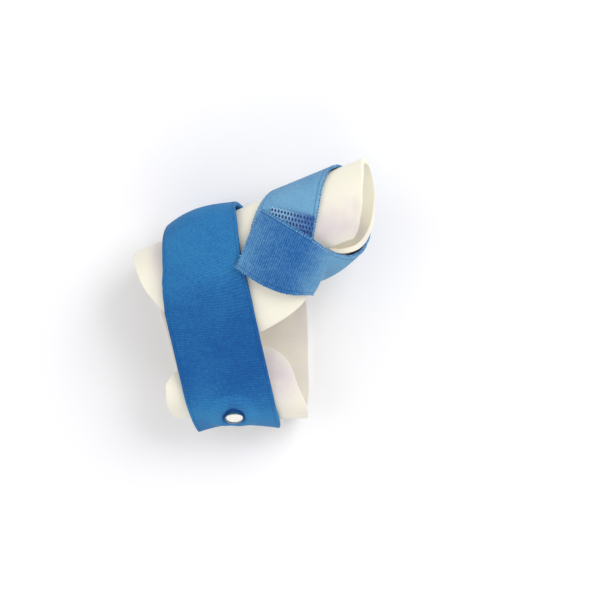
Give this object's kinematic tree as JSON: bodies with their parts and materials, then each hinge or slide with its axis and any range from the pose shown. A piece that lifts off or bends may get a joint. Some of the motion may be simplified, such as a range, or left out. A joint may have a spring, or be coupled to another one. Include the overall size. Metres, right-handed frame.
{
  "type": "thumb splint",
  "caption": "Hand-based thumb splint: a white moulded shell round the palm and thumb, held by a wide riveted wrist strap and a narrow thumb strap.",
  "frame": {"origin": "middle of the overall box, on the surface that the back of the splint rests on", "axes": "+X towards the fingers, +Y towards the thumb side of the hand, +Z from the back of the hand to the palm"},
  "size_m": [0.1048, 0.1188, 0.0603],
  "materials": {
    "shell": "smooth satin, moulded",
    "wrist_strap": "ribbed soft loop strap",
    "hook_tape": "hook tape",
    "rivet": "smooth",
    "thumb_strap": "woven elastic webbing"
  },
  "bodies": {
    "root": {"splint_shell": "shell", "wrist_strap": "wrist_strap", "wrist_hook_pad": "hook_tape", "strap_rivet": "rivet", "thumb_strap": "thumb_strap", "thumb_hook_patch": "hook_tape"}
  },
  "joints": []
}
